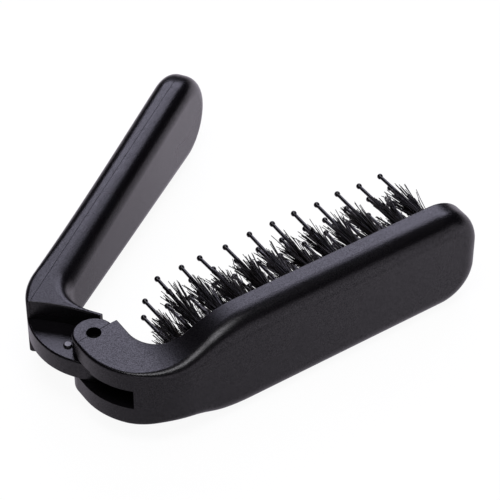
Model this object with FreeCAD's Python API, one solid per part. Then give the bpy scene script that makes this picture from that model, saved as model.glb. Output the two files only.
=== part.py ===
"""Pocket styling brush: a folding hair brush, part open, every piece a solid of its own.

Sizes are millimetres. The origin lies on the hinge axis at mid-height, +X runs along the head to its
tip, +Y is the side the bristles and the handle are on, and +Z is up along the hinge axis.
"""

import FreeCAD, Part
import math
import os

V = FreeCAD.Vector

# Hinge
knuckle_height = 19.4
ear_radius = 6.0
shoulder_level = 0.7
slot_height = 6.7
tongue_clearance = 0.15
hinge_clearance = 0.35
pivot_hole_radius = 2.1
pivot_running_fit = 0.06
sleeve_recess = 3.5
sleeve_bore_radius = 1.5
sleeve_fit = 0.02
parting_width = 0.16
parting_depth = 0.12
rest_opening = 34.0

# Head
head_length = 112.4
head_width = 32.8
head_back = 25.5
head_thickness = 9.9
knuckle_straight = 3.9
inner_line = 7.8
inner_arc = 10.6
neck_from_ear = 0.2
neck_end = 35.0
head_corner = 12.6
back_round = 5.8
knuckle_round = 0.8
round_starts = 14.5
front_round = 0.5
rim = 2.2
wall = 2.4

# Bristle plate
plate_thickness = 4.0
plate_recess = 0.4
plate_clearance = 0.1
plate_ledge = 1.5
plate_start_corner = 3.5
plate_setback = 0.7
tab_width = 8.0
tab_length = 1.0
tab_root = 2.0
tab_level = 1.2
tab_thickness = 1.4
tab_clearance = 0.15

# Bristles
row_count = 4
row_from_side = 7.1
first_tuft_from_plate_edge = 2.2
last_tuft_from_tip = 7.0
tuft_pitch = 7.6
tuft_hole_radius = 1.2
tuft_hole_depth = 3.2
tuft_fit = 0.05
tuft_neck = 0.5
tuft_length = 17.0
tuft_tip_gap = 0.6
pin_radius = 0.48
pin_fit = 0.05
pin_length = 25.1
bristle_lean = 1.5
ball_radius = 0.85
anchor_height = 0.6
anchor_thickness = 0.35
anchor_clearance = 0.15

# Handle
handle_length = 113.4
handle_thickness = 11.0
handle_tip_width = 28.6
handle_face_round = 5.0
handle_back_round = 4.2
heel_round = 2.2
heel_round_start = 4.0
hollow_start = 26.0
handle_wall = 2.0
handle_side_wall = 2.8
stop_gap = 0.3
seam_below_back_at_hinge = 4.3
seam_below_back_at_tip = 5.8
seam_gap = 0.12
cut_bulge = 0.96
cut_outer_angle = 122.5
cut_round = 0.35
tongue_round = 0.5
peg_count = 3
peg_radius = 1.6
peg_fit = 0.05
peg_depth = 3.0
peg_end_gap = 0.4
first_peg_from_hollow = 8.0
last_peg_from_tip = 23.4
socket_wall = 1.4

# Detent
pip_beside_ear = 0.2
pip_angle = 98.7
pip_radius = 1.3
pip_height = 0.6
pip_shank_radius = 0.7
pip_shank = 2.4
pip_end_gap = 0.1
pip_fit = 0.02
track_start = 160.0
track_side_clearance = 0.35
track_top_clearance = 0.25

# Sizes that follow
half_knuckle = knuckle_height / 2
half_slot = slot_height / 2
half_tongue = half_slot - tongue_clearance
half_head = head_width / 2
row_pitch = (head_width - 2 * row_from_side) / (row_count - 1)
tuft_tip_radius = (min(row_pitch, tuft_pitch) - tuft_tip_gap) / 2
bristle_level = head_back - head_thickness
plate_front = -bristle_level - plate_recess
plate_seat = plate_front - plate_thickness
plate_start = inner_line + inner_arc + plate_setback
neck_start = ear_radius + neck_from_ear
knuckle_arc = head_back - knuckle_straight
arc_x = knuckle_arc - ear_radius
handle_back = head_back
handle_face = handle_back - handle_thickness
tip_level = shoulder_level + stop_gap
cut_line = ear_radius + hinge_clearance
pip_from_axis = ear_radius + pip_beside_ear + pip_radius
tuft_foot = anchor_height + tuft_fit - tuft_hole_depth

# Cutting solids run on past the piece they cut, and joined ones run into it
far = head_length + handle_length
overlap = 0.5

# Smallest lengths told apart when edges are picked
tiny = 1e-6
near = 1e-4


def line(a, b):
    """Straight edge between two plan points."""
    return Part.makeLine(V(a[0], a[1], 0), V(b[0], b[1], 0))


def arc(a, mid, b):
    """Round edge through three plan points."""
    return Part.Arc(V(a[0], a[1], 0), V(mid[0], mid[1], 0), V(b[0], b[1], 0)).toShape()


def on_circle(centre, radius, degrees):
    """Point on a plan circle."""
    turn = math.radians(degrees)
    return (centre[0] + radius * math.cos(turn), centre[1] + radius * math.sin(turn))


def round_edge(centre, radius, start, end):
    """Round edge of a plan circle between two angles."""
    middle = on_circle(centre, radius, (start + end) / 2)
    return arc(on_circle(centre, radius, start), middle, on_circle(centre, radius, end))


def prism(edges, low, high):
    """Solid from a closed plan outline, between two heights."""
    face = Part.Face(Part.Wire(edges))
    face.translate(V(0, 0, low))
    return face.extrude(V(0, 0, high - low))


def upright(edges, low, high):
    """Solid from a closed outline drawn in x and z, between two y levels."""
    face = Part.Face(Part.Wire(edges))
    face.rotate(V(0, 0, 0), V(1, 0, 0), 90)
    face.translate(V(0, low, 0))
    return face.extrude(V(0, high - low, 0))


def mirrored_outline(top):
    """Close an outline whose upper half runs left to right, mirrored about the x axis."""
    lower = [edge.mirror(V(0, 0, 0), V(0, 1, 0)) for edge in top]
    ends = [top[0].Vertexes[0].Point, top[-1].Vertexes[-1].Point]
    edges = list(top) + lower
    for point in ends:
        if abs(point.y) > tiny:
            edges.append(line((point.x, point.y), (point.x, -point.y)))
    return Part.__sortEdges__(edges)


def walked(edges):
    """Put each edge's end radii in the order in which its run of joined edges is walked."""
    left = dict(edges)
    ordered = []
    while left:
        number = min(left)
        ends, radii = left.pop(number)
        ordered.append((number, radii[0], radii[1]))
        for point, forward in ((ends[1], True), (ends[0], False)):
            while point is not None:
                found = [n for n in left if min((e - point).Length for e in left[n][0]) < near]
                if not found:
                    break
                ends_here, radii_here = left.pop(found[0])
                side = 0 if (ends_here[0] - point).Length < near else 1
                start, end = radii_here[side], radii_here[1 - side]
                ordered.append((found[0], start, end) if forward else (found[0], end, start))
                point = ends_here[1 - side]
    return ordered


def rounded(solid, radius_of):
    """Round the edges for which radius_of gives a start and an end radius."""
    document = FreeCAD.newDocument("rounding")
    base = document.addObject("Part::Feature", "base")
    base.Shape = solid
    result = document.addObject("Part::Fillet", "result")
    result.Base = base
    chosen = {}
    for number, edge in enumerate(base.Shape.Edges, 1):
        radii = radius_of(edge)
        if radii:
            ends = (edge.valueAt(edge.FirstParameter), edge.valueAt(edge.LastParameter))
            chosen[number] = (ends, radii)
    result.Edges = walked(chosen)
    document.recompute()
    shape = result.Shape.copy()
    FreeCAD.closeDocument(document.Name)
    return shape


def single(shape):
    """The one solid of a shape."""
    if len(shape.Solids) != 1:
        raise ValueError("expected one solid, found %d" % len(shape.Solids))
    return shape.removeSplitter().Solids[0]


def between(low, high, share):
    """Value a share of the way from low to high, held at both ends."""
    return low + (high - low) * min(1.0, max(0.0, share))


def head_plan():
    """Side profile of the head: ears, curved arm and straight back."""
    back_centre = (arc_x, -knuckle_straight)
    front_centre = (inner_line + inner_arc, -bristle_level + inner_arc)
    split = 180 + math.degrees(round_starts / knuckle_arc)
    shoulder_x = math.sqrt(ear_radius ** 2 - shoulder_level ** 2)
    shoulder_turn = math.degrees(math.asin(shoulder_level / ear_radius))
    return [
        line((-ear_radius, 0), (-ear_radius, -knuckle_straight)),
        round_edge(back_centre, knuckle_arc, 180, split),
        round_edge(back_centre, knuckle_arc, split, 270),
        line((arc_x, -head_back), (head_length, -head_back)),
        line((head_length, -head_back), (head_length, -bristle_level)),
        line((head_length, -bristle_level), (front_centre[0], -bristle_level)),
        round_edge(front_centre, inner_arc, 270, 180),
        line((inner_line, front_centre[1]), (inner_line, shoulder_level)),
        line((inner_line, shoulder_level), (shoulder_x, shoulder_level)),
        round_edge((0, 0), ear_radius, shoulder_turn, 180),
    ]


def head_outline(inset, start, corner):
    """Broad-face outline of the head in x and z, set in by an even margin."""
    low = half_knuckle - inset
    high = half_head - inset
    rise = high - low
    run = neck_end - neck_start
    bend = (run ** 2 + rise ** 2) / (4 * rise)
    turn = math.degrees(math.asin(run / 2 / bend))
    middle = (neck_start + run / 2, low + rise / 2)
    tip = head_length - inset
    first = (neck_start, low + bend)
    second = (neck_end, high - bend)
    return mirrored_outline([
        line((start, low), (neck_start, low)),
        arc((neck_start, low), on_circle(first, bend, -90 + turn / 2), middle),
        arc(middle, on_circle(second, bend, 90 + turn / 2), (neck_end, high)),
        line((neck_end, high), (tip - corner, high)),
        round_edge((tip - corner, high - corner), corner, 90, 0),
    ])


def stands_upright(first, last):
    """Whether an edge's ends lie one above the other."""
    return abs(first.x - last.x) + abs(first.y - last.y) < tiny


def edge_points(edge):
    """Start, middle and end of an edge."""
    low = edge.FirstParameter
    high = edge.LastParameter
    return [edge.valueAt(low), edge.valueAt((low + high) / 2), edge.valueAt(high)]


def head_round(edge):
    """Radius along the back edge of the head, small at the ears and growing along the arm."""
    points = edge_points(edge)
    if stands_upright(points[0], points[2]) and points[0].x < head_length - tiny:
        return None
    if all(on_front(point) for point in points):
        return front_round, front_round
    radii = [back_radius(point) for point in points]
    return None if None in radii else (radii[0], radii[2])


def on_front(point):
    """Whether a point lies on the bristle side of the head or on the hollow of its arm."""
    centre = (inner_line + inner_arc, inner_arc - bristle_level)
    if point.x > centre[0] - tiny:
        return abs(point.y + bristle_level) < near
    if point.y > centre[1] - tiny:
        return abs(point.x - inner_line) < near
    return abs(math.hypot(point.x - centre[0], point.y - centre[1]) - inner_arc) < near


def back_radius(point):
    """Edge radius wanted at a point of the back's own edge; None for a point elsewhere."""
    if point.y > -knuckle_straight - tiny:
        at_ear = abs(math.hypot(point.x, point.y) - ear_radius) < near
        at_side = abs(point.x + ear_radius) < near
        return knuckle_round if (at_ear and point.y > -tiny) or at_side else None
    if point.x <= arc_x + tiny:
        dx = point.x - arc_x
        dy = point.y + knuckle_straight
        if abs(math.hypot(dx, dy) - knuckle_arc) > near:
            return None
        along = knuckle_arc * math.atan2(-dy, -dx)
    else:
        if abs(point.y + head_back) > near:
            return None
        along = knuckle_arc * math.pi / 2 + point.x - arc_x
    full = knuckle_arc * math.pi / 2 + neck_end - arc_x
    share = (along - round_starts) / (full - round_starts)
    return between(knuckle_round, back_round, share)


def head_solid():
    """Outer form of the head, before its slot and pocket."""
    profile = prism(head_plan(), -half_head, half_head)
    outline = upright(head_outline(0.0, -far, head_corner), -far, far)
    return rounded(single(profile.common(outline)), head_round)


def slot_solid():
    """Room between the ears that the tongue turns in, with its stop wall the tongue's own arc."""
    corner = V(-arc_x, -knuckle_straight, -half_slot)
    disc = Part.makeCylinder(knuckle_arc + hinge_clearance, slot_height, corner)
    below = Part.makeBox(2 * far, far, slot_height, V(-far, -far, -half_slot))
    eye = Part.makeCylinder(cut_line, slot_height, V(0, 0, -half_slot))
    return disc.common(below).fuse(eye)


def track_solid():
    """Shallow arc under the upper ear that the pip travels in."""
    half_width = pip_radius + track_side_clearance
    depth = pip_height - tongue_clearance + track_top_clearance
    end = pip_angle + 180 + math.degrees(math.asin(half_width / pip_from_axis))
    foot = V(0, 0, half_slot)
    outer = Part.makeCylinder(pip_from_axis + half_width, depth, foot, V(0, 0, 1), end - track_start)
    outer.rotate(V(0, 0, 0), V(0, 0, 1), track_start)
    return outer.cut(Part.makeCylinder(pip_from_axis - half_width, depth, foot))


def parting_solids():
    """Fine groove across the outer face of each ear, through the pivot to the shoulder's corner."""
    grooves = []
    for level in (half_knuckle - parting_depth, -half_knuckle - overlap):
        corner = V(-ear_radius - overlap, -parting_width / 2, level)
        groove = Part.makeBox(2 * ear_radius + overlap, parting_width, parting_depth + overlap, corner)
        groove.rotate(V(0, 0, 0), V(0, 0, 1), math.degrees(math.asin(shoulder_level / ear_radius)))
        grooves.append(groove)
    return grooves


def plate_prism(inset, back, front):
    """Solid with the plate's outline, set in from the head's edge, between two y levels."""
    outline = upright(head_outline(inset, -far, head_corner - inset), back, front)
    start = plate_start + inset - rim
    block = Part.makeBox(head_length, front - back, head_width, V(start, back, -half_head))
    solid = single(outline.common(block))
    corners = [e for e in solid.Edges if all(abs(v.X - start) < tiny for v in e.Vertexes)]
    corners = [e for e in corners if abs(e.Vertexes[0].Z - e.Vertexes[1].Z) < tiny]
    return solid.makeFillet(plate_start_corner, corners)


def tab_boxes(extra):
    """Tabs at the two ends of the plate, grown by a clearance for their recesses."""
    y = plate_seat + tab_level - extra
    width = tab_width + 2 * extra
    high = tab_thickness + 2 * extra
    reach = tab_length + extra
    end = head_length - rim
    first = Part.makeBox(reach + tab_root, high, width, V(plate_start - reach, y, -width / 2))
    second = Part.makeBox(reach + tab_root, high, width, V(end - tab_root, y, -width / 2))
    return [first, second]


def head_shell():
    """Head moulding: ears, arm and hollow back."""
    shape = head_solid().cut(slot_solid())
    shape = shape.cut(Part.makeCylinder(pivot_hole_radius, 2 * knuckle_height, V(0, 0, -knuckle_height)))
    shape = shape.cut(track_solid())
    for groove in parting_solids():
        shape = shape.cut(groove)
    shape = shape.cut(plate_prism(rim, plate_seat, overlap - bristle_level))
    shape = shape.cut(plate_prism(rim + plate_ledge, wall - head_back, plate_seat + overlap))
    for box in tab_boxes(tab_clearance):
        shape = shape.cut(box)
    return single(shape)


def places():
    """Tuft centres on the plate as x and z, row by row from the top, the outer rows half a pitch on."""
    top = half_head - row_from_side
    rows = []
    for number in range(row_count):
        start = plate_start + first_tuft_from_plate_edge
        if number in (0, row_count - 1):
            start += tuft_pitch / 2
        count = int((head_length - last_tuft_from_tip - start) / tuft_pitch) + 1
        rows.append([(start + tuft_pitch * i, top - row_pitch * number) for i in range(count)])
    return rows


def planted(shape, place):
    """Stand a shape drawn along +Y at a tuft's place, leaning to the hinge as all of them do."""
    shape = shape.copy()
    shape.rotate(V(0, 0, 0), V(0, 0, 1), bristle_lean)
    shape.translate(V(place[0], plate_front, place[1]))
    return shape


def turned(points):
    """Solid turned about the y axis from a closed profile of radius and height."""
    corners = [V(radius, height, 0) for radius, height in points]
    wire = Part.makePolygon(corners + corners[:1])
    return Part.Face(wire).revolve(V(0, 0, 0), V(0, 1, 0), 360)


def bristle_plate():
    """Plate with a blind hole for every tuft."""
    shape = plate_prism(rim + plate_clearance, plate_seat, plate_front)
    for box in tab_boxes(0.0):
        shape = shape.fuse(box)
    drill = upright_cylinder(tuft_hole_radius, (0, 0), -tuft_hole_depth, overlap)
    holes = [planted(drill, place) for row in places() for place in row]
    return single(shape.cut(Part.makeCompound(holes)))


def tuft():
    """One tuft as a flared bundle with room for its pin."""
    bore = pin_radius + pin_fit
    base = tuft_hole_radius - tuft_fit
    return turned([
        (bore, tuft_foot),
        (base, tuft_foot),
        (base, tuft_neck),
        (tuft_tip_radius, tuft_length),
        (bore, tuft_length),
    ])


def pin():
    """One pin with a ball at its tip."""
    centre = pin_length - ball_radius
    shaft = upright_cylinder(pin_radius, (0, 0), tuft_foot, centre)
    return single(shaft.fuse(Part.makeSphere(ball_radius, V(0, centre, 0))))


def anchor():
    """One flat wire staple across the bottom of a tuft hole."""
    across = 2 * (tuft_hole_radius - anchor_clearance)
    corner = V(-across / 2, tuft_foot - anchor_height, -anchor_thickness / 2)
    return Part.makeBox(across, anchor_height, anchor_thickness, corner)


def pivot_sleeve():
    """Tube through ears and tongue, sunk below both mouths of the hole."""
    half = half_knuckle - sleeve_recess
    radius = pivot_hole_radius - sleeve_fit
    tube = Part.makeCylinder(radius, 2 * half, V(0, 0, -half))
    return tube.cut(Part.makeCylinder(sleeve_bore_radius, knuckle_height, V(0, 0, -half_knuckle)))


def cut_points():
    """Start, middle and end of the wall that clears the ears: a slightly bulging arc."""
    start = (cut_line, tip_level)
    end = on_circle((arc_x, knuckle_straight), knuckle_arc, cut_outer_angle)
    run = (end[0] - start[0], end[1] - start[1])
    length = math.hypot(run[0], run[1])
    bulge = cut_bulge / length
    middle = (start[0] + run[0] / 2 + run[1] * bulge, start[1] + run[1] / 2 - run[0] * bulge)
    return start, middle, end


def handle_plan():
    """Side profile of the handle without its tongue, as it lies when folded."""
    inner = (inner_line + inner_arc, handle_face - inner_arc)
    start, middle, end = cut_points()
    return [
        line(start, (inner_line, tip_level)),
        line((inner_line, tip_level), (inner_line, inner[1])),
        round_edge(inner, inner_arc, 180, 90),
        line((inner[0], handle_face), (far, handle_face)),
        line((far, handle_face), (far, handle_back)),
        line((far, handle_back), (arc_x, handle_back)),
        round_edge((arc_x, knuckle_straight), knuckle_arc, 90, cut_outer_angle),
        arc(end, middle, start),
    ]


def handle_outline(inset, start):
    """Broad-face outline of the handle in x and z: a slow taper and a round tip."""
    tip = handle_tip_width / 2 - inset
    root = half_knuckle - inset
    centre = (handle_length - inset - tip, 0)
    run = centre[0] - cut_line
    slope = math.asin(tip / math.hypot(root, run)) - math.atan2(root, run)
    touch = on_circle(centre, tip, 90 + math.degrees(slope))
    first = (start, root + (start - cut_line) * math.tan(slope))
    return mirrored_outline([line(first, touch), round_edge(centre, tip, 90 + math.degrees(slope), 0)])


def handle_radius(edge):
    """Radius along the handle's long edges, small at the knuckle."""
    points = edge_points(edge)
    if stands_upright(points[0], points[2]) and points[0].x < handle_length - tiny:
        return None
    if not all(on_long_edge(point) for point in points):
        return None
    return long_edge_radius(points[0]), long_edge_radius(points[2])


def on_cut(point):
    """Whether a point lies on the curved cut that ends the handle's body above the tongue."""
    curve = arc(*cut_points()).Curve
    return abs(math.hypot(point.x - curve.Center.x, point.y - curve.Center.y) - curve.Radius) < near


def cut_rounded(solid):
    """The handle's body with the rim of its curved cut rounded, sides and heel in one run."""
    rims = []
    for edge in solid.Edges:
        points = edge_points(edge)
        if all(on_cut(point) for point in points) and not stands_upright(points[0], points[2]):
            rims.append(edge)
    return solid.makeFillet(cut_round, rims)


def on_long_edge(point):
    """Whether a point lies on the handle's face, back, crook, heel or lip."""
    centre = (inner_line + inner_arc, handle_face - inner_arc)
    crook = abs(math.hypot(point.x - centre[0], point.y - centre[1]) - inner_arc) < near
    heel = abs(math.hypot(point.x - arc_x, point.y - knuckle_straight) - knuckle_arc) < near
    if point.x > centre[0] + tiny:
        return abs(point.y - handle_back) < near or abs(point.y - handle_face) < near
    if point.x > arc_x - tiny and abs(point.y - handle_back) < near:
        return True
    lip = abs(point.x - inner_line) < near and point.y < centre[1] + tiny
    return crook or lip or (heel and point.x < arc_x + tiny)


def long_edge_radius(point):
    """Radius at a point of the handle's long edges, no more than its thickness has room for."""
    room = handle_thickness - overlap
    back = min(handle_back_round, room * handle_back_round / (handle_back_round + handle_face_round))
    if point.y < (handle_face + handle_back) / 2:
        share = (point.x - inner_line) / inner_arc
        return between(knuckle_round, min(handle_face_round, room - back), share)
    if point.x < arc_x - tiny:
        share = (point.x - heel_round_start) / (arc_x - heel_round_start)
        return between(knuckle_round, heel_round, share)
    share = (point.x - arc_x) / (handle_length - handle_tip_width / 2 - arc_x)
    return between(heel_round, back, share)


def tongue_plan():
    """Outline of the tongue: the knuckle's arc outside and an eye round the pivot."""
    start, middle = cut_points()[:2]
    inside = start[0] + overlap
    centre = (arc_x, knuckle_straight)
    lap_angle = cut_outer_angle - math.degrees(overlap / knuckle_arc)
    return [
        round_edge(centre, knuckle_arc, lap_angle, 180),
        line((-ear_radius, knuckle_straight), (-ear_radius, 0)),
        round_edge((0, 0), ear_radius, 180, 360),
        line((ear_radius, 0), (ear_radius, tip_level)),
        line((ear_radius, tip_level), (inside, tip_level)),
        line((inside, tip_level), (inside, middle[1])),
        line((inside, middle[1]), on_circle(centre, knuckle_arc, lap_angle)),
    ]


def on_tongue_rim(point):
    """Whether a point lies on the outer edge of one of the tongue's flats."""
    heel = abs(math.hypot(point.x - arc_x, point.y - knuckle_straight) - knuckle_arc) < near
    side = abs(point.x + ear_radius) < near
    eye = point.y < tiny and abs(math.hypot(point.x, point.y) - ear_radius) < near
    return (heel or side or eye) and abs(abs(point.z) - half_tongue) < near


def tongue_solid():
    """The tongue, with the outer edges of its flats rounded."""
    solid = prism(tongue_plan(), -half_tongue, half_tongue)
    rims = [edge for edge in solid.Edges if all(on_tongue_rim(point) for point in edge_points(edge))]
    return solid.makeFillet(tongue_round, rims)


def handle_whole():
    """Outer form of the handle with its tongue, folded."""
    profile = prism(handle_plan(), -handle_tip_width, handle_tip_width)
    outline = upright(handle_outline(0.0, 0.0), 0.0, far)
    body = rounded(single(profile.common(outline)), handle_radius)
    shape = cut_rounded(body).fuse(tongue_solid())
    bore = pivot_hole_radius - sleeve_fit + pivot_running_fit
    return single(shape.cut(Part.makeCylinder(bore, knuckle_height, V(0, 0, -half_knuckle))))


def seam_level(x):
    """Height of the seam between the handle's halves at a distance from the hinge."""
    drop = seam_below_back_at_tip - seam_below_back_at_hinge
    return handle_back - seam_below_back_at_hinge - drop * x / handle_length


def seam_side(outer):
    """Half of space on one side of the seam between the handle's halves."""
    block = Part.makeBox(2 * far, far, 2 * far, V(-far, 0 if outer else -far, -far))
    slope = (seam_level(handle_length) - seam_level(0)) / handle_length
    block.rotate(V(0, 0, 0), V(0, 0, 1), math.degrees(math.atan(slope)))
    block.translate(V(0, seam_level(0) + (seam_gap / 2 if outer else -seam_gap / 2), 0))
    return block


def handle_hollow():
    """Space inside the two halves of the handle."""
    outline = handle_outline(handle_side_wall, hollow_start)
    return upright(outline, handle_face + handle_wall, handle_back - handle_wall)


def upright_cylinder(radius, place, low, high):
    """Cylinder along +Y between two levels."""
    return Part.makeCylinder(radius, high - low, V(place[0], low, place[1]), V(0, 1, 0))


def peg_places():
    """Centres of the pegs along the handle, evenly spaced, as x and z."""
    first = hollow_start + first_peg_from_hollow
    last = handle_length - last_peg_from_tip
    return [(first + (last - first) * i / (peg_count - 1), 0.0) for i in range(peg_count)]


def handle_halves():
    """Frame with the tongue, and the cover that closes it."""
    whole = handle_whole().cut(handle_hollow())
    frame = whole.common(seam_side(False))
    cover = whole.common(seam_side(True))
    floor = handle_face + handle_wall - overlap
    roof = handle_back - handle_wall + overlap
    bore = peg_radius + peg_fit
    for place in peg_places():
        seam = seam_level(place[0])
        socket = upright_cylinder(bore + socket_wall, place, floor, seam - seam_gap)
        hole = upright_cylinder(bore, place, seam - peg_depth - peg_end_gap, seam + overlap)
        frame = frame.fuse(socket).cut(hole)
        cover = cover.fuse(upright_cylinder(peg_radius, place, seam - peg_depth, roof))
    x, y = on_circle((0, 0), pip_from_axis, pip_angle)
    deep = pip_shank + pip_end_gap
    pip_hole = Part.makeCylinder(pip_shank_radius + pip_fit, deep + overlap, V(x, y, half_tongue - deep))
    return single(frame.cut(pip_hole)), single(cover)


def detent_pip():
    """Domed pin set in the tongue's upper flat."""
    x, y = on_circle((0, 0), pip_from_axis, pip_angle)
    sphere = (pip_radius ** 2 + pip_height ** 2) / (2 * pip_height)
    ball = Part.makeSphere(sphere, V(x, y, half_tongue + pip_height - sphere))
    above = Part.makeCylinder(2 * pip_radius, pip_radius, V(x, y, half_tongue))
    cap = ball.common(above)
    shank = Part.makeCylinder(pip_shank_radius, pip_shank, V(x, y, half_tongue - pip_shank))
    return single(cap.fuse(shank))


def opened(shape):
    """Turn a piece of the handle from folded to its place in the photo."""
    shape = shape.copy()
    shape.rotate(V(0, 0, 0), V(0, 0, 1), rest_opening)
    return shape


def main():
    """Build every piece and write it."""
    os.makedirs("parts", exist_ok=True)
    frame, cover = handle_halves()
    pieces = {
        "head_shell": head_shell(),
        "bristle_plate": bristle_plate(),
        "pivot_sleeve": pivot_sleeve(),
        "handle_frame": opened(frame),
        "handle_cover": opened(cover),
        "detent_pip": opened(detent_pip()),
    }
    for number, row in enumerate(places(), 1):
        pieces["tufts_row_%d" % number] = Part.makeCompound([planted(tuft(), place) for place in row])
        pieces["pins_row_%d" % number] = Part.makeCompound([planted(pin(), place) for place in row])
        pieces["anchors_row_%d" % number] = Part.makeCompound([planted(anchor(), place) for place in row])
    for name, shape in pieces.items():
        if not shape.isValid():
            raise ValueError(name + " is not a valid shape")
        shape.exportStep("parts/%s.step" % name)
        print(name, len(shape.Solids), round(shape.Volume, 1))


main()
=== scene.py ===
"""Looks of a folding pocket hair brush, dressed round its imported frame.

Sizes are millimetres unless a name says otherwise, and become metres when a mesh is made. The frame's
origin lies on the hinge axis, +X runs along the head to its tip, +Y is the bristle side and +Z is up.
"""

import logging
import math
from dataclasses import dataclass
from enum import Enum
from typing import Any, Protocol

import bpy
import numpy as np
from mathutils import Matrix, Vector


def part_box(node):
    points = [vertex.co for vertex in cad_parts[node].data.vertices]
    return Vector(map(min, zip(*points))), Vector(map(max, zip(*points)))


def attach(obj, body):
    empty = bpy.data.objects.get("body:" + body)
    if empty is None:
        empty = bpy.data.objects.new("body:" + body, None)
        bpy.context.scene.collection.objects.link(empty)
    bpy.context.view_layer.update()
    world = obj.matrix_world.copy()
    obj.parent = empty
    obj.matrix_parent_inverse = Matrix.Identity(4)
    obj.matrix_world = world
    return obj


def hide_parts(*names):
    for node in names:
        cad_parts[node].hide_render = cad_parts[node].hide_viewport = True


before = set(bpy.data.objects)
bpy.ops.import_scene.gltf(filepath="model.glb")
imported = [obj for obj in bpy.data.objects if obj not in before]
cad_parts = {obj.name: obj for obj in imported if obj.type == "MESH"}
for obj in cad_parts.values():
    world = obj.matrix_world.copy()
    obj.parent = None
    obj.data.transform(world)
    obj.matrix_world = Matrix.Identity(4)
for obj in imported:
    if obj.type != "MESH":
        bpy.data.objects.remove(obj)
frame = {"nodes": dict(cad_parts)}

MM = 0.001
X_AXIS, Y_AXIS, Z_AXIS = np.eye(3)
GOLDEN_ANGLE = math.pi * (3 - math.sqrt(5))
WHITE = "#ffffff"
# Attribute that says how brown a filament is.
TONE = "tone"
# Nearly all values of a noise lie between these.
NOISE_LOW, NOISE_HIGH = 0.3, 0.7
# Sockets of a colour Mix node, by number because its other data types have the same names.
MIX_FIRST, MIX_SECOND, MIX_RESULT = 6, 7, 2
log = logging.getLogger("pocket_brush")


class Body(Enum):
    """The two bodies of the brush that pieces ride on."""

    HEAD = "head"
    HANDLE = "handle"


class Slot(Enum):
    """Material slots of the record."""

    SHELL = "shell"
    PLATE = "plate"
    SLEEVE = "sleeve"
    PIP = "pip"
    BRISTLE = "bristle"
    PIN = "pin"
    ANCHOR = "anchor"


def linear(colour: str) -> tuple[float, float, float, float]:
    """Turn an sRGB hex colour into linear red, green, blue and alpha.

    Args:
        colour: Six hex digits, with or without a leading mark.

    Returns:
        Linear values from 0 to 1, alpha 1.
    """
    digits = colour.lstrip("#")
    shares = [int(digits[i:i + 2], 16) / 255 for i in (0, 2, 4)]
    red, green, blue = [s / 12.92 if s <= 0.04045 else ((s + 0.055) / 1.055) ** 2.4 for s in shares]
    return red, green, blue, 1.0


def add_node(tree: bpy.types.NodeTree, kind: str, inputs: dict[str | int, Any] | None = None,
             **settings: Any) -> bpy.types.Node:
    """Add a node with its settings, and fill or link its inputs.

    Args:
        tree: Node tree that takes the node.
        kind: Blender's name of the node's type.
        inputs: Socket name or number to a value, or to the output socket it is linked from.
        settings: Properties of the node itself.

    Returns:
        The new node.
    """
    node = tree.nodes.new(kind)
    for name, value in settings.items():
        setattr(node, name, value)
    for key, value in (inputs or {}).items():
        socket = node.inputs[key]
        if isinstance(value, bpy.types.NodeSocket):
            tree.links.new(value, socket)
        else:
            socket.default_value = value
    return node


def empty_material(name: str) -> tuple[bpy.types.Material, bpy.types.NodeTree]:
    """Make a node material with an empty tree.

    Args:
        name: Name of the material.

    Returns:
        The material and its tree.
    """
    material = bpy.data.materials.new(name)
    material.use_nodes = True
    material.node_tree.nodes.clear()
    return material, material.node_tree


class Finish(Protocol):
    """What a piece is made of and how its surface was left."""

    def build(self) -> bpy.types.Material:
        """Make the material."""


@dataclass(frozen=True)
class MouldedPlastic:
    """Injection-moulded plastic with the fine pitted grain of a spark-eroded mould.

    The pits break the reflection up into a satin sheen, and less light comes back out of a pit than from the
    skin between them, by the pit shade. Where the mould was polished more the sheen is tighter, so roughness
    drifts a little over a few centimetres.
    """

    name: str
    colour: str
    roughness: float
    roughness_drift: float
    grain: float
    grain_depth: float
    pit_shade: float = 0.0
    drift_length: float = 24.0
    noise_octaves: float = 1.0
    fine_grain_share: float = 0.6
    ior: float = 1.42

    def build(self) -> bpy.types.Material:
        """Make the material."""
        material, tree = empty_material(self.name)
        place = add_node(tree, "ShaderNodeTexCoord").outputs["Object"]
        grain = add_node(tree, "ShaderNodeTexNoise", {
            "Vector": place, "Scale": 1 / (self.grain * MM),
            "Detail": self.noise_octaves, "Roughness": self.fine_grain_share})
        drift = add_node(tree, "ShaderNodeTexNoise", {
            "Vector": place, "Scale": 1 / (self.drift_length * MM), "Detail": self.noise_octaves})
        sheen = add_node(tree, "ShaderNodeMapRange", {
            "Value": drift.outputs["Fac"], "From Min": NOISE_LOW, "From Max": NOISE_HIGH,
            "To Min": self.roughness - self.roughness_drift, "To Max": self.roughness + self.roughness_drift})
        pits = add_node(tree, "ShaderNodeBump", {
            "Height": grain.outputs["Fac"], "Strength": 1.0, "Distance": self.grain_depth * MM})
        shader = add_node(tree, "ShaderNodeBsdfPrincipled", {
            "Base Color": linear(self.colour), "IOR": self.ior,
            "Roughness": sheen.outputs["Result"], "Normal": pits.outputs["Normal"]})
        if self.pit_shade:
            # The specular level swings about its usual half: 1/2 + shade (noise - 1/2).
            gloss = add_node(tree, "ShaderNodeMath", operation="MULTIPLY_ADD", inputs={
                0: grain.outputs["Fac"], 1: self.pit_shade, 2: (1 - self.pit_shade) / 2})
            tree.links.new(gloss.outputs["Value"], shader.inputs["Specular IOR Level"])
        add_node(tree, "ShaderNodeOutputMaterial", {"Surface": shader.outputs["BSDF"]})
        return material


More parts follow.
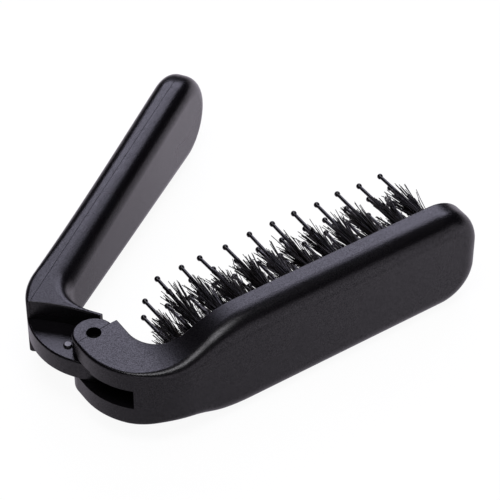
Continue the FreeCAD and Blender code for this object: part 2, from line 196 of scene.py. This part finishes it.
@dataclass(frozen=True)
class Filament:
    """Bristle filament: nearly black, some strands a very dark brown, with a soft gloss along it."""

    name: str
    dark: str
    brown: str
    roughness: float
    ior: float = 1.5

    def build(self) -> bpy.types.Material:
        """Make the material."""
        material, tree = empty_material(self.name)
        tone = add_node(tree, "ShaderNodeAttribute", attribute_name=TONE)
        colour = add_node(tree, "ShaderNodeMix", data_type="RGBA", inputs={
            "Factor": tone.outputs["Fac"], MIX_FIRST: linear(self.dark), MIX_SECOND: linear(self.brown)})
        shader = add_node(tree, "ShaderNodeBsdfPrincipled", {
            "Base Color": colour.outputs[MIX_RESULT], "Roughness": self.roughness, "IOR": self.ior})
        add_node(tree, "ShaderNodeOutputMaterial", {"Surface": shader.outputs["BSDF"]})
        return material


@dataclass(frozen=True)
class SteelWire:
    """Flat drawn steel wire, with draw marks along its length that dull it in streaks."""

    name: str
    colour: str
    roughness: float
    roughness_spread: float
    mark_spacing: float
    mark_stretch: float

    def build(self) -> bpy.types.Material:
        """Make the material."""
        material, tree = empty_material(self.name)
        place = add_node(tree, "ShaderNodeTexCoord").outputs["Object"]
        along = add_node(tree, "ShaderNodeMapping", {
            "Vector": place, "Scale": (1 / self.mark_stretch, 1.0, 1.0)})
        marks = add_node(tree, "ShaderNodeTexNoise", {
            "Vector": along.outputs["Vector"], "Scale": 1 / (self.mark_spacing * MM)})
        gloss = add_node(tree, "ShaderNodeMapRange", {
            "Value": marks.outputs["Fac"],
            "To Min": self.roughness, "To Max": self.roughness + self.roughness_spread})
        shader = add_node(tree, "ShaderNodeBsdfPrincipled", {
            "Base Color": linear(self.colour), "Metallic": 1.0, "Roughness": gloss.outputs["Result"]})
        add_node(tree, "ShaderNodeOutputMaterial", {"Surface": shader.outputs["BSDF"]})
        return material


# Black ABS from a spark-eroded mould, satin and lightly speckled. Its pits are about 0.05 mm, too fine to
# show in the render, so they are drawn 0.32 mm across.
SHELL_ABS = MouldedPlastic(
    "shell_abs_spark_eroded", colour="#070608", roughness=0.27, roughness_drift=0.02,
    grain=0.32, grain_depth=0.030, pit_shade=1.2)
# The bristle plate's ABS, matt from a duller part of the mould, its pits drawn as coarse as the shell's.
PLATE_ABS = MouldedPlastic(
    "plate_abs_matt", colour="#080709", roughness=0.50, roughness_drift=0.03, grain=0.32, grain_depth=0.040)
# Acetal of the pivot tube, dull and nearly without grain.
SLEEVE_ACETAL = MouldedPlastic(
    "sleeve_acetal", colour="#080809", roughness=0.45, roughness_drift=0.02, grain=0.25, grain_depth=0.004)
# Acetal of the detent pip, its flat top painted light grey as a highlight of the light from above, and
# smooth.
PIP_PAINTED_HIGHLIGHT = MouldedPlastic(
    "pip_acetal_painted_highlight", colour="#67666c", roughness=0.30, roughness_drift=0.03,
    grain=0.25, grain_depth=0.002)
# Nylon of the ball-tipped pins, glossy because their mould is polished.
PIN_NYLON = MouldedPlastic(
    "pin_nylon_polished", colour="#070608", roughness=0.28, roughness_drift=0.02,
    grain=0.30, grain_depth=0.001, ior=1.53)
# Drawn filament of the tufts, black with a brown strand here and there.
BRISTLE_FILAMENT = Filament("bristle_filament", dark="#040304", brown="#140e0b", roughness=0.30)
# Flat steel wire of the anchors, grey and finely streaked along the head.
ANCHOR_STEEL = SteelWire(
    "anchor_flat_steel_wire", colour="#9a9a9c", roughness=0.3, roughness_spread=0.2,
    mark_spacing=0.05, mark_stretch=10.0)


def dress(piece: bpy.types.Object, material: bpy.types.Material) -> None:
    """Give a piece one material, in place of what it had.

    Args:
        piece: Piece to dress.
        material: Its finish.
    """
    piece.data.materials.clear()
    piece.data.materials.append(material)


def mesh_object(name: str, points: np.ndarray, faces: list[tuple[int, ...]],
                smooth: bool) -> bpy.types.Object:
    """Make an object at the origin from points and faces.

    Args:
        name: Name of the object.
        points: Points in millimetres, one row each.
        faces: Corner numbers of each face, seen from outside against the clock.
        smooth: Whether faces are shaded smooth.

    Returns:
        The linked object.
    """
    mesh = bpy.data.meshes.new(name)
    mesh.from_pydata((points * MM).tolist(), [], faces)
    mesh.polygons.foreach_set("use_smooth", [smooth] * len(mesh.polygons))
    mesh.update()
    made = bpy.data.objects.new(name, mesh)
    bpy.context.scene.collection.objects.link(made)
    return made


def tubes(lines: np.ndarray, side_a: np.ndarray, side_b: np.ndarray,
          radii: np.ndarray, sides: int) -> tuple[np.ndarray, list[tuple[int, ...]]]:
    """Closed tubes round many centre lines, each ring a circle p + r (cos t a + sin t b).

    Args:
        lines: Centre points by tube and ring.
        side_a: First cross direction, by tube or for all.
        side_b: Second cross direction, such that a, b and the line's way are right-handed.
        radii: Radius of each ring.
        sides: Points of each ring.

    Returns:
        The points, and faces with a cap on each end, the tips' caps last.
    """
    count, rings = lines.shape[:2]
    turn = np.arange(sides) * 2 * math.pi / sides
    cross = np.cos(turn)[:, None] * side_a[..., None, :] + np.sin(turn)[:, None] * side_b[..., None, :]
    cross = np.broadcast_to(cross, (count, sides, 3))
    points = lines[:, :, None, :] + radii[:, None, None] * cross[:, None, :, :]
    ring, side = np.meshgrid(np.arange(rings - 1) * sides, np.arange(sides), indexing="ij")
    after = (side + 1) % sides
    wall = np.stack([ring + side, ring + after, ring + sides + after, ring + sides + side], axis=-1)
    starts = np.arange(count)[:, None] * rings * sides
    walls = (starts[:, None] + wall.reshape(-1, 4)).reshape(-1, 4)
    foot = starts + np.arange(sides)[::-1]
    tip = starts + (rings - 1) * sides + np.arange(sides)
    faces = [tuple(face) for face in walls.tolist() + foot.tolist() + tip.tolist()]
    return points.reshape(-1, 3), faces


@dataclass(frozen=True)
class BristleBed:
    """Where the tufts stand on the plate, read from the frame's own anchors."""

    rows: int = 4
    pitch: float = 7.6
    plate_front: float = -16.0
    lean_degrees: float = 0.6

    def places(self, row: int) -> np.ndarray:
        """Tuft centres of one row on the plate's face.

        Args:
            row: Number of the row, from 1 at the top.

        Returns:
            Coordinates, one line for each tuft, from the hinge to the tip.
        """
        low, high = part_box(f"anchors_row_{row}")
        count = round((high.x - low.x) / (self.pitch * MM)) + 1
        x = (low.x + high.x) / 2 / MM + (np.arange(count) - (count - 1) / 2) * self.pitch
        z = (low.z + high.z) / 2 / MM
        return np.stack([x, np.full(count, self.plate_front), np.full(count, z)], axis=1)

    def directions(self, towards_tip: np.ndarray, upwards: np.ndarray) -> np.ndarray:
        """Unit directions of bundles that lean from the plate's normal.

        Args:
            towards_tip: Lean along the head in degrees, added to the common lean to the hinge.
            upwards: Lean along the hinge axis in degrees.

        Returns:
            One unit direction for each bundle.
        """
        along = np.tan(np.radians(towards_tip - self.lean_degrees))
        ways = np.stack([along, np.ones_like(along), np.tan(np.radians(upwards))], axis=-1)
        return ways / np.linalg.norm(ways, axis=-1, keepdims=True)


@dataclass(frozen=True)
class TuftRows:
    """Tufts of fine filaments, one piece for each row.

    A filament's centre line is p(s) = base + L s u + d s^flare + b s (1 - s), with u the tuft's own
    direction, d the spread of its tip and b a small sideways bow. Filaments cling together in clumps, so d
    is the clump's own spread plus a little scatter, and a few stray filaments are longer and wilder. The
    radius falls evenly from root to tip. Spreads, scatters and the bow are standard deviations, and the
    length limits are shares of the length.
    """

    bed: BristleBed
    strands: int = 64
    clumps: int = 16
    root_radius: float = 0.95
    tip_radius: float = 3.1
    length: float = 15.8
    clump_length_spread: float = 0.9
    strand_length_spread: float = 0.6
    length_limits: tuple[float, float] = (0.6, 1.2)
    clump_scatter: float = 0.45
    strand_scatter: float = 0.55
    stray_share: float = 0.08
    stray_length: float = 17.8
    stray_length_spread: float = 0.8
    stray_scatter: float = 1.5
    bow: float = 0.6
    strand_radius: float = 0.16
    tip_share: float = 0.8
    lean_spread_degrees: float = 2.0
    flare: float = 1.5
    tone_power: int = 3
    rings: int = 6
    sides: int = 3
    seed: int = 11

    def roots(self, places: np.ndarray,
              random: np.random.Generator) -> tuple[np.ndarray, np.ndarray, np.ndarray, np.ndarray]:
        """Roots of a row's filaments, and the clumps that they cling to.

        They stand as seeds do in a sunflower: strand i of n is at the root radius times sqrt((i + 1/2) / n),
        turned by i golden angles. Each clump has one strand that leads it and takes those nearest to it.

        Args:
            places: Tuft centres.
            random: Source of the row's variation.

        Returns:
            Roots by tuft and strand, their offsets as shares of the root radius, the leading strand of each
            clump, and the clump of each strand.
        """
        index = np.arange(self.strands)
        turn = index * GOLDEN_ANGLE + random.uniform(0, 2 * math.pi, (len(places), 1))
        share = np.sqrt((index + 0.5) / self.strands)
        out = np.stack([np.cos(turn), np.zeros(turn.shape), np.sin(turn)], axis=-1)
        base = places[:, None, :] + out * (share * self.root_radius)[:, None]
        leader = random.integers(0, self.strands, (len(places), self.clumps))[..., None]
        gap = np.linalg.norm(base[:, :, None, :] - np.take_along_axis(base, leader, 1)[:, None], axis=-1)
        return base, out * share[:, None], leader, gap.argmin(axis=2)

    def lengths(self, clump: np.ndarray, stray: np.ndarray, random: np.random.Generator) -> np.ndarray:
        """Length of each filament: its clump's, a little more or less, or a stray's own.

        Args:
            clump: Clump of each strand.
            stray: Whether each strand is a stray.
            random: Source of the row's variation.

        Returns:
            Lengths by tuft and strand.
        """
        of_clump = random.normal(self.length, self.clump_length_spread, (len(clump), self.clumps))
        length = np.take_along_axis(of_clump, clump, 1)
        length = length + random.normal(0, self.strand_length_spread, clump.shape)
        of_stray = random.normal(self.stray_length, self.stray_length_spread, clump.shape)
        shortest, longest = self.length_limits
        return np.clip(np.where(stray, of_stray, length), shortest * self.length, longest * self.length)

    def centre_lines(self, row: int, random: np.random.Generator) -> np.ndarray:
        """Centre lines of every filament of a row.

        Args:
            row: Number of the row, from 1 at the top.
            random: Source of the row's variation.

        Returns:
            Array of filaments, rings and coordinates.
        """
        places = self.bed.places(row)
        base, offset, leader, clump = self.roots(places, random)
        stray = random.random(clump.shape) < self.stray_share
        length = self.lengths(clump, stray, random)
        clump_way = np.take_along_axis(offset, leader, 1) * (self.tip_radius - self.root_radius)
        clump_way = clump_way + random.normal(0, self.clump_scatter, clump_way.shape)
        spread = np.take_along_axis(clump_way, clump[..., None], 1)
        scatter = np.where(stray, self.stray_scatter, self.strand_scatter)
        spread = spread + random.normal(0, 1.0, spread.shape) * scatter[..., None]
        bow = random.normal(0, self.bow, spread.shape)
        lean = random.normal(0, self.lean_spread_degrees, (2, len(places)))
        ways = self.bed.directions(lean[0], lean[1])
        in_plane = X_AXIS + Z_AXIS
        s = np.linspace(0, 1, self.rings)
        lines = base[:, :, None, :] + length[..., None, None] * s[:, None] * ways[:, None, None, :]
        lines = lines + (spread * in_plane)[:, :, None, :] * (s ** self.flare)[:, None]
        lines = lines + (bow * in_plane)[:, :, None, :] * (s * (1 - s))[:, None]
        return lines.reshape(-1, self.rings, 3)

    def build(self, row: int, material: bpy.types.Material) -> bpy.types.Object:
        """Make one row's filaments, which stand for its solid tufts.

        Args:
            row: Number of the row, from 1 at the top.
            material: Their finish.

        Returns:
            The piece.
        """
        random = np.random.default_rng(self.seed + row)
        lines = self.centre_lines(row, random)
        radii = self.strand_radius * np.linspace(1, self.tip_share, self.rings)
        points, faces = tubes(lines, Z_AXIS, X_AXIS, radii, self.sides)
        piece = mesh_object(f"filaments_row_{row}", points, faces, smooth=True)
        tone = np.repeat(random.random(len(lines)) ** self.tone_power, self.rings * self.sides)
        attribute = piece.data.attributes.new(TONE, "FLOAT", "POINT")
        attribute.data.foreach_set("value", tone.astype(np.float32))
        dress(piece, material)
        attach(piece, Body.HEAD.value)
        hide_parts(f"tufts_row_{row}")
        return piece


@dataclass(frozen=True)
class PinRows:
    """Ball-tipped pins, one in each tuft, one piece for each row.

    A pin is a circle swept along its straight axis, with a radius that tapers along the shaft and follows
    r = sqrt(R^2 - h^2) round the ball, h being the height from its centre. The taper ends a neck gap below
    the ball, and the pole angle leaves a small flat on the ball's top. Every pin leans a little its own way,
    and the outer rows, those past splay_from, splay outwards too.
    """

    bed: BristleBed
    length: float = 25.1
    foot: float = -0.2
    foot_radius: float = 0.58
    neck_radius: float = 0.50
    neck_gap: float = 0.15
    ball_radius: float = 0.85
    pole_degrees: float = 4.0
    lean_spread_degrees: float = 0.9
    splay_degrees: float = 1.2
    splay_from: float = 8.0
    sides: int = 14
    shaft_rings: int = 4
    ball_rings: int = 9
    seed: int = 5

    def profile(self) -> tuple[np.ndarray, np.ndarray]:
        """Heights along the axis and radii of the rings."""
        centre = self.length - self.ball_radius
        join = math.asin(self.neck_radius / self.ball_radius)
        turn = np.linspace(math.pi - join, math.radians(self.pole_degrees), self.ball_rings)
        neck = centre - self.ball_radius * math.cos(join) - self.neck_gap
        shaft_heights = np.linspace(self.foot, neck, self.shaft_rings)
        shaft_radii = np.linspace(self.foot_radius, self.neck_radius, self.shaft_rings)
        heights = np.concatenate([shaft_heights, centre + self.ball_radius * np.cos(turn)])
        radii = np.concatenate([shaft_radii, self.ball_radius * np.sin(turn)])
        return heights, radii

    def build(self, row: int, material: bpy.types.Material) -> bpy.types.Object:
        """Make one row's pins, which stand for its solid ones.

        Args:
            row: Number of the row, from 1 at the top.
            material: Their finish.

        Returns:
            The piece.
        """
        random = np.random.default_rng(self.seed + row)
        places = self.bed.places(row)
        lean = random.normal(0, self.lean_spread_degrees, (2, len(places)))
        side = places[:, 2]
        outwards = self.splay_degrees * np.sign(side) * (np.abs(side) > self.splay_from)
        ways = self.bed.directions(lean[0], lean[1] + outwards)
        across = np.cross(ways, X_AXIS)
        across /= np.linalg.norm(across, axis=1, keepdims=True)
        heights, radii = self.profile()
        lines = places[:, None, :] + heights[:, None] * ways[:, None, :]
        points, faces = tubes(lines, across, np.cross(ways, across), radii, self.sides)
        piece = mesh_object(f"ball_pins_row_{row}", points, faces, smooth=True)
        dress(piece, material)
        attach(piece, Body.HEAD.value)
        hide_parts(f"pins_row_{row}")
        return piece


@dataclass(frozen=True)
class Shells:
    """The mouldings kept as the frame has them: head, handle halves, plate and sleeve."""

    black: tuple[str, ...] = ("head_shell", "handle_frame", "handle_cover")
    others: tuple[tuple[str, Finish, Slot], ...] = (
        ("bristle_plate", PLATE_ABS, Slot.PLATE),
        ("pivot_sleeve", SLEEVE_ACETAL, Slot.SLEEVE),
    )

    def build(self, nodes: dict[str, bpy.types.Object], shell: bpy.types.Material) -> list[bpy.types.Object]:
        """Dress the mouldings; the black ones share one finish.

        Args:
            nodes: The frame's own pieces by name.
            shell: Finish of the black ones.

        Returns:
            The dressed pieces.
        """
        plan = [(nodes[name], shell, Slot.SHELL) for name in self.black]
        plan += [(nodes[name], finish.build(), slot) for name, finish, slot in self.others]
        for piece, material, slot in plan:
            dress(piece, material)
        return [piece for piece, _, _ in plan]


@dataclass(frozen=True)
class PipButton:
    """The detent pip: a flat top painted light grey as a highlight, and a black rim.

    Its profile is turned about the pip's axis: r = top + (radius - top) cos t and z = height sin t for t
    from 0 at the tongue to a right angle at the top's edge, with a skirt below that is sunk in the tongue.
    """

    radius: float = 1.3
    height: float = 0.6
    top_radius: float = 0.9
    sunk: float = 0.3
    sides: int = 36
    rim_rings: int = 8

    def build(self, painted_top: bpy.types.Material, black: bpy.types.Material) -> bpy.types.Object:
        """Make the button, which stands for the solid pip.

        Args:
            painted_top: Finish of the top, painted light grey as a highlight.
            black: Finish of the rim.

        Returns:
            The piece.
        """
        low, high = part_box("detent_pip")
        turn = np.linspace(0, math.pi / 2, self.rim_rings)
        rim = self.top_radius + (self.radius - self.top_radius) * np.cos(turn)
        radii = np.concatenate([[self.radius], rim])
        levels = high.z / MM - self.height + np.concatenate([[-self.sunk], self.height * np.sin(turn)])
        middle = (low + high) / 2 / MM
        line = np.stack([np.full_like(levels, middle.x), np.full_like(levels, middle.y), levels], axis=1)
        points, faces = tubes(line[None], X_AXIS, Y_AXIS, radii, self.sides)
        piece = mesh_object("pip_button", points, faces, smooth=True)
        dress(piece, black)
        piece.data.materials.append(painted_top)
        # The flat top takes the light grey finish, a painted highlight.
        top = piece.data.polygons[-1]
        top.material_index = 1
        top.use_smooth = False
        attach(piece, Body.HANDLE.value)
        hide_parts("detent_pip")
        return piece


def direction(azimuth: float, elevation: float) -> Vector:
    """Unit direction to a point round the brush.

    Args:
        azimuth: Degrees, 0 towards -Y and 90 towards +X.
        elevation: Degrees above the floor.

    Returns:
        The direction.
    """
    a, e = math.radians(azimuth), math.radians(elevation)
    return Vector((math.sin(a) * math.cos(e), -math.cos(a) * math.cos(e), math.sin(e)))


@dataclass(frozen=True)
class Softbox:
    """A soft rectangular lamp that faces the brush.

    Radiance is the brightness of its face, where 1 is white, and its power is pi times radiance and area. A
    lamp that only fills in shadows isn't mirrored in gloss.
    """

    name: str
    azimuth: float
    elevation: float
    distance: float
    width: float
    height: float
    radiance: float
    colour: str
    mirrored: bool = True

    def build(self, aim: Vector) -> bpy.types.Object:
        """Add the lamp.

        Args:
            aim: Point that it faces, in millimetres.

        Returns:
            The lamp.
        """
        way = direction(self.azimuth, self.elevation)
        data = bpy.data.lights.new(self.name, "AREA")
        data.shape = "RECTANGLE"
        data.size = self.width * MM
        data.size_y = self.height * MM
        data.energy = self.radiance * math.pi * data.size * data.size_y
        data.color = linear(self.colour)[:3]
        lamp = bpy.data.objects.new(self.name, data)
        lamp.location = (aim + way * self.distance) * MM
        lamp.rotation_mode = "QUATERNION"
        lamp.rotation_quaternion = (-way).to_track_quat("-Z", "Y")
        lamp.visible_camera = False
        lamp.visible_glossy = self.mirrored
        bpy.context.scene.collection.objects.link(lamp)
        return lamp


@dataclass(frozen=True)
class Camera:
    """The photograph's camera, placed by where the knuckle's pivot falls in the picture."""

    azimuth: float = -34.1
    elevation: float = 43.0
    frame_px: float = 500.0
    focal_px: float = 2300.0
    pivot_px: tuple[float, float] = (93.7, 332.7)
    pivot_px_per_mm: float = 3.75
    pivot_point: tuple[float, float, float] = (0.0, 0.0, 9.7)
    sensor: float = 36.0
    clip_metres: tuple[float, float] = (0.01, 100.0)

    def build(self) -> bpy.types.Object:
        """Add the camera and make it the scene's own."""
        back = direction(self.azimuth, self.elevation)
        turn = math.radians(self.azimuth)
        right = Vector((math.cos(turn), math.sin(turn), 0.0))
        up = back.cross(right)
        across = (self.pivot_px[0] - self.frame_px / 2) / self.pivot_px_per_mm
        rise = (self.frame_px / 2 - self.pivot_px[1]) / self.pivot_px_per_mm
        depth = self.focal_px / self.pivot_px_per_mm
        data = bpy.data.cameras.new("camera")
        data.sensor_width = self.sensor
        data.lens = self.sensor * self.focal_px / self.frame_px
        data.clip_start, data.clip_end = self.clip_metres
        camera = bpy.data.objects.new("camera", data)
        camera.location = (Vector(self.pivot_point) - across * right - rise * up + depth * back) * MM
        camera.rotation_mode = "QUATERNION"
        camera.rotation_quaternion = (-back).to_track_quat("-Z", "Y")
        bpy.context.scene.collection.objects.link(camera)
        bpy.context.scene.camera = camera
        return camera


def gloss_share(tree: bpy.types.NodeTree, path: bpy.types.Node) -> bpy.types.NodeSocket:
    """Tell rays that come by way of gloss or glass from the rest.

    Args:
        tree: Node tree of the background.
        path: Its Light Path node.

    Returns:
        A socket that is 1 for such rays and 0 for the rest.
    """
    return add_node(tree, "ShaderNodeMath", operation="MAXIMUM", inputs={
        0: path.outputs["Is Glossy Ray"], 1: path.outputs["Is Transmission Ray"]}).outputs["Value"]


@dataclass(frozen=True)
class Studio:
    """White paper floor in a dark room, with a softbox behind the brush, one high in front, and a fill.

    Gloss sees painted light and shade on the paper: it is bright between the arms of the brush, dimmer close
    in front of it, a painted shadow of the brush, and dimmer far behind it. Sheet levels are that painted
    brightness by distance along +Y, and the sheet tilt multiplies them by distance along +X. In front the
    paper curves up, with the brightness of the sheet curve. Of the unit direction that gloss looks in,
    sheet_rise gives the Z where that paper ends, and sheet_side the Y.
    """

    camera: Camera = Camera()
    aim: tuple[float, float, float] = (45.0, 10.0, 0.0)
    floor_size: float = 8000.0
    floor_gap: float = 0.02
    floor_colour: str = "#fafafb"
    floor_glow: float = 0.93
    sheet_colour: str = "#f8f0ff"
    sheet_levels: tuple[tuple[float, float], ...] = (
        (-120.0, 0.88), (-70.0, 0.62), (-20.0, 0.5), (15.0, 0.64), (40.0, 0.72),
        (65.0, 0.85), (110.0, 0.8), (200.0, 0.5), (400.0, 0.4), (700.0, 0.0))
    sheet_tilt: tuple[tuple[float, float], tuple[float, float]] = ((30.0, 0.95), (118.0, 1.3))
    sheet_curve: float = 0.9
    sheet_rise: tuple[float, float] = (0.40, 0.44)
    sheet_side: tuple[float, float] = (-0.6, -0.4)
    room_light: float = 0.015
    softboxes: tuple[Softbox, ...] = (
        Softbox("back_softbox", azimuth=141.0, elevation=41.5, distance=900.0,
                width=780.0, height=460.0, radiance=4.2, colour="#e8e5ff"),
        Softbox("camera_softbox", azimuth=-34.0, elevation=75.0, distance=900.0,
                width=520.0, height=400.0, radiance=6.0, colour="#fbf9ff"),
        Softbox("fill_sheet", azimuth=-34.0, elevation=75.0, distance=1200.0,
                width=1600.0, height=1600.0, radiance=1.5, colour=WHITE, mirrored=False),
    )

    def sheet_strength(self, tree: bpy.types.NodeTree) -> bpy.types.NodeSocket:
        """Painted light and shade of the paper that gloss sees, by place on it.

        Args:
            tree: Node tree of the paper.

        Returns:
            A socket with that brightness.
        """
        place = add_node(tree, "ShaderNodeTexCoord").outputs["Object"]
        parts = add_node(tree, "ShaderNodeSeparateXYZ", {"Vector": place}).outputs
        near, far = self.sheet_levels[0][0], self.sheet_levels[-1][0]
        along = add_node(tree, "ShaderNodeMapRange", {
            "Value": parts["Y"], "From Min": near * MM, "From Max": far * MM})
        level = add_node(tree, "ShaderNodeValToRGB", {"Fac": along.outputs["Result"]})
        stops = level.color_ramp.elements
        for distance, _ in self.sheet_levels[1:-1]:
            stops.new((distance - near) / (far - near))
        for stop, (_, value) in zip(stops, self.sheet_levels):
            stop.color = (value, value, value, 1.0)
        (left, dim), (right, bright) = self.sheet_tilt
        tilt = add_node(tree, "ShaderNodeMapRange", {
            "Value": parts["X"], "From Min": left * MM, "From Max": right * MM,
            "To Min": dim, "To Max": bright})
        return add_node(tree, "ShaderNodeMath", operation="MULTIPLY", inputs={
            0: level.outputs["Color"], 1: tilt.outputs["Result"]}).outputs["Value"]

    def paper(self) -> bpy.types.Material:
        """Make the paper: nearly plain white to the camera, with a faint shadow, and with painted light and
        shade in gloss.
        """
        material, tree = empty_material("floor_white_paper")
        path = add_node(tree, "ShaderNodeLightPath")
        matt = add_node(tree, "ShaderNodeBsdfDiffuse", {"Color": linear(self.floor_colour)})
        white = add_node(tree, "ShaderNodeEmission", {"Color": linear(WHITE), "Strength": 1.0})
        # The glowing sheet carries the painted light and shade that gloss sees on the paper.
        sheet = add_node(tree, "ShaderNodeEmission", {
            "Color": linear(self.sheet_colour), "Strength": self.sheet_strength(tree)})
        glow = add_node(tree, "ShaderNodeMath", operation="MULTIPLY", inputs={
            0: path.outputs["Is Camera Ray"], 1: self.floor_glow})
        shown = add_node(tree, "ShaderNodeMixShader", {
            0: glow.outputs["Value"], 1: matt.outputs["BSDF"], 2: white.outputs["Emission"]})
        shader = add_node(tree, "ShaderNodeMixShader", {
            0: gloss_share(tree, path), 1: shown.outputs["Shader"], 2: sheet.outputs["Emission"]})
        add_node(tree, "ShaderNodeOutputMaterial", {"Surface": shader.outputs["Shader"]})
        return material

    def floor(self) -> bpy.types.Object:
        """Lay the paper just under the brush."""
        ground = min(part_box(name)[0].z for name in frame["nodes"]) / MM - self.floor_gap
        square = np.array([(-0.5, -0.5, 0.0), (0.5, -0.5, 0.0), (0.5, 0.5, 0.0), (-0.5, 0.5, 0.0)])
        corners = square * self.floor_size + ground * Z_AXIS
        floor = mesh_object("floor", corners, [(0, 1, 2, 3)], smooth=False)
        floor.data.materials.append(self.paper())
        return floor

    def world(self) -> None:
        """White for the camera and a dark room otherwise, with the paper's curved-up front for gloss."""
        world = bpy.data.worlds.new("studio")
        bpy.context.scene.world = world
        world.use_nodes = True
        tree = world.node_tree
        tree.nodes.clear()
        path = add_node(tree, "ShaderNodeLightPath")
        way = add_node(tree, "ShaderNodeTexCoord").outputs["Generated"]
        parts = add_node(tree, "ShaderNodeSeparateXYZ", {"Vector": way}).outputs
        low = add_node(tree, "ShaderNodeMapRange", {
            "Value": parts["Z"], "From Min": self.sheet_rise[0], "From Max": self.sheet_rise[1],
            "To Min": 1.0, "To Max": 0.0})
        ahead = add_node(tree, "ShaderNodeMapRange", {
            "Value": parts["Y"], "From Min": self.sheet_side[0], "From Max": self.sheet_side[1],
            "To Min": self.sheet_curve, "To Max": 0.0})
        level = add_node(tree, "ShaderNodeMath", operation="MULTIPLY", inputs={
            0: low.outputs["Result"], 1: ahead.outputs["Result"]})
        room = add_node(tree, "ShaderNodeBackground", {
            "Color": linear(WHITE), "Strength": self.room_light})
        sheet = add_node(tree, "ShaderNodeBackground", {
            "Color": linear(self.sheet_colour), "Strength": level.outputs["Value"]})
        white = add_node(tree, "ShaderNodeBackground", {"Color": linear(WHITE), "Strength": 1.0})
        unseen = add_node(tree, "ShaderNodeMixShader", {
            0: gloss_share(tree, path), 1: room.outputs["Background"], 2: sheet.outputs["Background"]})
        shader = add_node(tree, "ShaderNodeMixShader", {
            0: path.outputs["Is Camera Ray"], 1: unseen.outputs["Shader"], 2: white.outputs["Background"]})
        add_node(tree, "ShaderNodeOutputWorld", {"Surface": shader.outputs["Shader"]})

    def build(self) -> None:
        """Set up the whole stage."""
        bpy.context.scene.view_settings.view_transform = "Standard"
        self.camera.build()
        self.floor()
        self.world()
        for softbox in self.softboxes:
            softbox.build(Vector(self.aim))


def main() -> None:
    """Dress the frame, grow the bristles, and set the stage."""
    logging.basicConfig(level=logging.INFO, format="%(name)s: %(message)s")
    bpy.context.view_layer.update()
    nodes = frame["nodes"]
    shell = SHELL_ABS.build()
    pieces = Shells().build(nodes, shell)
    pieces.append(PipButton().build(PIP_PAINTED_HIGHLIGHT.build(), shell))
    bed = BristleBed()
    tufts, pins = TuftRows(bed), PinRows(bed)
    filament, nylon, steel = BRISTLE_FILAMENT.build(), PIN_NYLON.build(), ANCHOR_STEEL.build()
    for row in range(1, bed.rows + 1):
        anchors = nodes[f"anchors_row_{row}"]
        dress(anchors, steel)
        pieces += [anchors, tufts.build(row, filament), pins.build(row, nylon)]
    for piece in pieces:
        log.info("%s has %d faces", piece.name, len(piece.data.polygons))
    Studio().build()


if __name__ == "__main__":
    main()
